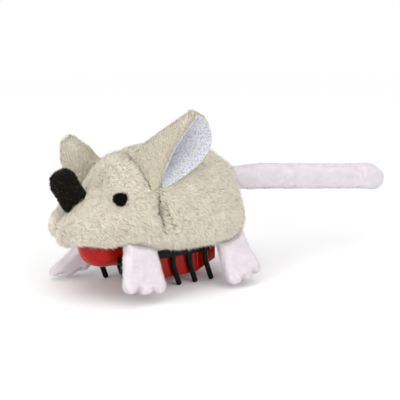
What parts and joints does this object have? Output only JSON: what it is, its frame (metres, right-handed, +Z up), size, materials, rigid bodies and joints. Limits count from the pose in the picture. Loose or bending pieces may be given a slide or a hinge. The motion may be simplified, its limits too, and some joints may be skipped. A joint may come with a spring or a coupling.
{
  "type": "vibrating plush mouse toy",
  "caption": "Plush toy mouse carried by a vibrating bristle drive: a motor with an eccentric weight makes it scuttle on rubber legs.",
  "frame": {"origin": "on the floor under the middle of the length from snout to tail end, in the middle plane", "axes": "+Z up, the snout points along -Y and the tail along +Y, the mouse's left side is +X"},
  "size_m": [0.0403, 0.1119, 0.053],
  "materials": {
    "plush": "short-pile cream plush",
    "ear_lining": "woven glitter lining",
    "black_felt": "pressed black felt",
    "pink_fleece": "soft pale pink fleece",
    "belly_cloth": "plain woven cotton",
    "fibre_fill": "loose polyester fibre",
    "red_abs": "moulded glossy red ABS",
    "black_rubber": "moulded glossy black rubber",
    "motor_steel": "drawn nickel-plated steel",
    "weight_alloy": "sintered heavy alloy",
    "white_nylon": "moulded natural nylon",
    "board_laminate": "green glass-epoxy laminate",
    "switch_steel": "stamped tinned steel",
    "black_nylon": "moulded black nylon",
    "cell_steel": "brushed stainless steel",
    "contact_brass": "stamped spring brass",
    "screw_steel": "zinc-plated steel",
    "red_wire": "red vinyl insulation",
    "black_wire": "black vinyl insulation"
  },
  "bodies": {
    "mouse": {"plush_cover": "plush", "left_ear_outer": "plush", "right_ear_outer": "plush", "left_ear_lining": "ear_lining", "right_ear_lining": "ear_lining", "nose_tab": "black_felt", "left_eye": "black_felt", "right_eye": "black_felt", "front_left_paw": "pink_fleece", "front_right_paw": "pink_fleece", "rear_left_paw": "pink_fleece", "rear_right_paw": "pink_fleece", "tail": "pink_fleece", "belly_panel": "belly_cloth", "head_filling": "fibre_fill", "rump_filling": "fibre_fill", "chassis": "red_abs", "upper_shell": "red_abs", "left_leg_strip": "black_rubber", "right_leg_strip": "black_rubber", "motor_can": "motor_steel", "motor_end_cap": "white_nylon", "circuit_board": "board_laminate", "switch_body": "switch_steel", "button_cell": "cell_steel", "positive_contact": "contact_brass", "negative_contact": "contact_brass", "case_screws": "screw_steel", "motor_lead_red": "red_wire", "motor_lead_black": "black_wire"},
    "rotor": {"motor_shaft": "motor_steel", "eccentric_weight": "weight_alloy"},
    "switch": {"switch_knob": "black_nylon"},
    "door": {"battery_door": "red_abs", "door_screw": "screw_steel"}
  },
  "joints": [
    {"name": "motor_spin", "type": "hinge", "parent": "mouse", "child": "rotor", "pos_m": [0, -0.0363, 0.0128], "axis": [0, 1, 0], "continuous": true},
    {"name": "switch_slide", "type": "slide", "parent": "mouse", "child": "switch", "axis": [1, 0, 0], "range_m": [0, 0.0016]},
    {"name": "battery_door_off", "type": "slide", "parent": "mouse", "child": "door", "axis": [0, 0, -1], "range_m": [0, 0.012]}
  ]
}
